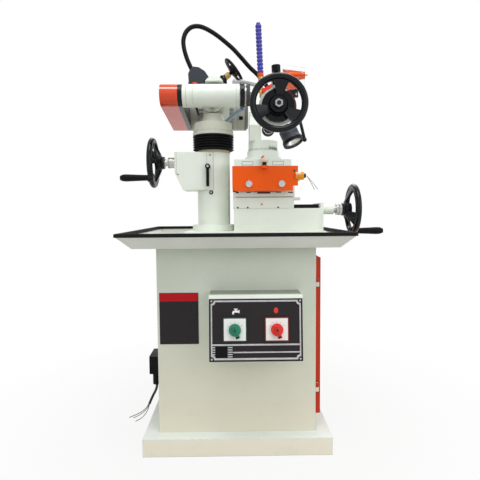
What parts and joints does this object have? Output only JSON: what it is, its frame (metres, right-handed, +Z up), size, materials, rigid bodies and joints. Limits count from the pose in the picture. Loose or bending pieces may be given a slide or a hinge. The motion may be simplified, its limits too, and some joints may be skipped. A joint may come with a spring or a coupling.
{
  "type": "tool and cutter grinder",
  "caption": "Tool and cutter grinder on a cabinet stand, with a lifting, tilting wheelhead and a swivelling workhead on a compound slide",
  "frame": {"origin": "middle of the plinth's underside, on the floor", "axes": "+X to the operator's right, along the wheel spindle; +Y away from the operator; +Z up"},
  "size_m": [0.8401, 0.6925, 1.3555],
  "materials": {
    "plinth_paint": "satin",
    "stand_paint": "satin",
    "casting_paint": "satin",
    "orange_paint": "gloss",
    "door_paint": "satin",
    "black_rubber": "matte",
    "black_plastic": "matte",
    "black_iron": "satin",
    "steel": "turned",
    "panel_film": "matte",
    "white_plastic": "gloss",
    "slate_paint": "satin",
    "motor_paint": "satin",
    "abrasive": "gritty",
    "lens_glass": "clear",
    "brass": "cast",
    "blue_plastic": "matte",
    "hose_vinyl": "gloss",
    "belt_rubber": "matte",
    "red_plastic": "gloss",
    "green_plastic": "gloss",
    "shield_plastic": "clear",
    "amber_plastic": "gloss",
    "lead_vinyl": "matte",
    "tank_sheet": "mill"
  },
  "bodies": {
    "stand": {"plinth": "plinth_paint", "cabinet": "stand_paint", "tray": "stand_paint", "tray_edging": "black_rubber", "slide_base": "casting_paint", "column": "casting_paint", "way_cover": "black_rubber", "control_box": "casting_paint", "front_plates": "panel_film", "switch_plates": "white_plastic", "junction_box": "black_plastic", "mains_lead": "lead_vinyl", "coolant_pump": "tank_sheet", "bellows": "black_rubber"},
    "door": {"door": "door_paint"},
    "quill": {"quill": "casting_paint"},
    "elevating_screw": {"elevating_screw": "steel"},
    "elevation_wheel": {"elevation_shaft": "steel", "elevation_handwheel": "black_iron"},
    "elevation_grip": {"elevation_grip": "black_plastic"},
    "head_swivel": {"swivel_block": "casting_paint"},
    "head": {"spindle_housing": "casting_paint", "head_covers": "black_iron", "motor_arm": "casting_paint", "motor": "motor_paint", "belt_guard": "orange_paint", "lamp_base": "slate_paint", "gooseneck": "black_plastic", "lamp_head": "slate_paint", "lamp_lens": "lens_glass", "coolant_valve": "brass", "coolant_hose": "blue_plastic", "head_lines": "hose_vinyl", "drive_belt": "belt_rubber"},
    "valve_lever": {"valve_lever": "red_plastic"},
    "eye_shield": {"eye_shield": "shield_plastic"},
    "tension_wheel": {"tension_handwheel": "black_plastic"},
    "spindle": {"spindle": "steel", "grinding_wheel": "abrasive"},
    "motor_rotor": {"motor_rotor": "steel"},
    "saddle": {"saddle": "casting_paint"},
    "cross_wheel": {"cross_screw": "steel", "cross_handwheel": "black_iron"},
    "cross_grip": {"cross_grip": "black_plastic"},
    "table": {"table_plate": "casting_paint", "end_plates": "orange_paint", "guide_rods": "steel", "side_connector": "amber_plastic", "connector_wires": "lead_vinyl"},
    "table_lock": {"table_lock_knob": "red_plastic"},
    "work_swivel": {"workhead_base": "casting_paint"},
    "work_head": {"workhead_body": "casting_paint"},
    "work_spindle": {"work_spindle": "black_iron", "work_handwheel": "black_iron"},
    "index_plunger": {"index_plunger": "black_plastic"},
    "tilt_lever": {"tilt_lever": "black_iron"},
    "lock_knob": {"lock_knob": "black_plastic"},
    "column_lever": {"column_lever": "black_plastic"},
    "coolant_switch": {"coolant_switch_knob": "green_plastic"},
    "motor_switch": {"motor_switch_knob": "red_plastic"}
  },
  "joints": [
    {"name": "door_hinge", "type": "hinge", "parent": "stand", "child": "door", "pos_m": [0.2425, -0.2325, 0.34], "axis": [0, 0, -1], "range_deg": [0, 110]},
    {"name": "elevation", "type": "slide", "parent": "stand", "child": "quill", "axis": [0, 0, 1], "range_m": [0, 0.12], "deforming": ["bellows"]},
    {"name": "elevating_screw_turn", "type": "hinge", "parent": "stand", "child": "elevating_screw", "pos_m": [-0.071, -0.087, 0.8], "axis": [0, 0, 1], "range_deg": [-5, 10805]},
    {"name": "elevation_wheel_turn", "type": "hinge", "parent": "stand", "child": "elevation_wheel", "pos_m": [-0.2303, -0.087, 0.88], "axis": [1, 0, 0], "range_deg": [-5, 10805]},
    {"name": "elevation_grip_turn", "type": "hinge", "parent": "elevation_wheel", "child": "elevation_grip", "pos_m": [-0.31, -0.13317, 0.82872], "axis": [1, 0, 0], "continuous": true},
    {"name": "head_swivel_turn", "type": "hinge", "parent": "quill", "child": "head_swivel", "pos_m": [-0.071, -0.087, 0.985], "axis": [0, 0, 1], "range_deg": [-20, 90]},
    {"name": "head_tilt", "type": "hinge", "parent": "head_swivel", "child": "head", "pos_m": [-0.071, -0.092, 1.073], "axis": [0, -1, 0], "range_deg": [-2, 15]},
    {"name": "spindle_turn", "type": "hinge", "parent": "head", "child": "spindle", "pos_m": [0, -0.13, 1.083], "axis": [1, 0, 0], "continuous": true},
    {"name": "motor_turn", "type": "hinge", "parent": "head", "child": "motor_rotor", "pos_m": [-0.1, 0.15, 1.083], "axis": [1, 0, 0], "continuous": true},
    {"name": "valve_lever_turn", "type": "hinge", "parent": "head", "child": "valve_lever", "pos_m": [0.089, -0.1433, 1.095], "axis": [0, -1, 0], "range_deg": [-30, 60]},
    {"name": "eye_shield_swing", "type": "hinge", "parent": "head", "child": "eye_shield", "pos_m": [0.185, -0.13, 1.147], "axis": [-1, 0, 0], "range_deg": [0, 80]},
    {"name": "tension_turn", "type": "hinge", "parent": "head", "child": "tension_wheel", "pos_m": [-0.026, -0.01, 1.18], "axis": [0.788, 0, 0.6157], "range_deg": [-180, 180]},
    {"name": "cross_slide", "type": "slide", "parent": "stand", "child": "saddle", "axis": [1, 0, 0], "range_m": [0, 0.08]},
    {"name": "cross_wheel_turn", "type": "hinge", "parent": "stand", "child": "cross_wheel", "pos_m": [0.345, -0.129, 0.725], "axis": [1, 0, 0], "range_deg": [-5, 5765]},
    {"name": "cross_grip_turn", "type": "hinge", "parent": "cross_wheel", "child": "cross_grip", "pos_m": [0.43, -0.129, 0.656], "axis": [1, 0, 0], "continuous": true},
    {"name": "table_slide", "type": "slide", "parent": "saddle", "child": "table", "axis": [0, 1, 0], "range_m": [-0.07, 0.04]},
    {"name": "table_lock_turn", "type": "hinge", "parent": "table", "child": "table_lock", "pos_m": [0.084, -0.2415, 0.86], "axis": [0, 0, 1], "range_deg": [-90, 90]},
    {"name": "work_swivel_turn", "type": "hinge", "parent": "table", "child": "work_swivel", "pos_m": [0.088, -0.12, 0.8725], "axis": [0, 0, 1], "range_deg": [-30, 30]},
    {"name": "work_tilt", "type": "hinge", "parent": "work_swivel", "child": "work_head", "pos_m": [0.06, -0.12, 1.017], "axis": [-1, 0, 0], "range_deg": [-10, 30]},
    {"name": "work_spindle_turn", "type": "hinge", "parent": "work_head", "child": "work_spindle", "pos_m": [0.1205, -0.2, 1.017], "axis": [0, 1, 0], "continuous": true},
    {"name": "index_pull", "type": "slide", "parent": "work_head", "child": "index_plunger", "axis": [-0.0489, 0, 0.9988], "range_m": [-0.0045, 0]},
    {"name": "tilt_lever_turn", "type": "hinge", "parent": "work_head", "child": "tilt_lever", "pos_m": [0.2, -0.12, 1.017], "axis": [1, 0, 0], "range_deg": [-40, 40]},
    {"name": "lock_knob_turn", "type": "hinge", "parent": "work_head", "child": "lock_knob", "pos_m": [0.0965, -0.23, 0.958], "axis": [0, 1, 0], "range_deg": [-180, 180]},
    {"name": "column_lever_turn", "type": "hinge", "parent": "stand", "child": "column_lever", "pos_m": [-0.087, -0.148, 0.862], "axis": [0, 1, 0], "range_deg": [-60, 60]},
    {"name": "coolant_switch_turn", "type": "hinge", "parent": "stand", "child": "coolant_switch", "pos_m": [-0.006, -0.32227, 0.39167], "axis": [0, -0.9964, 0.0849], "range_deg": [-45, 45]},
    {"name": "motor_switch_turn", "type": "hinge", "parent": "stand", "child": "motor_switch", "pos_m": [0.111, -0.32227, 0.39167], "axis": [0, -0.9964, 0.0849], "range_deg": [-45, 45]}
  ],
  "couplings": [
    {"joint": "elevation_wheel_turn", "follows": "elevation", "rad_per_m": 1570.8},
    {"joint": "elevating_screw_turn", "follows": "elevation", "rad_per_m": 1570.8},
    {"joint": "motor_turn", "follows": "spindle_turn", "ratio": 0.72727},
    {"joint": "cross_wheel_turn", "follows": "cross_slide", "rad_per_m": 1256.6}
  ]
}
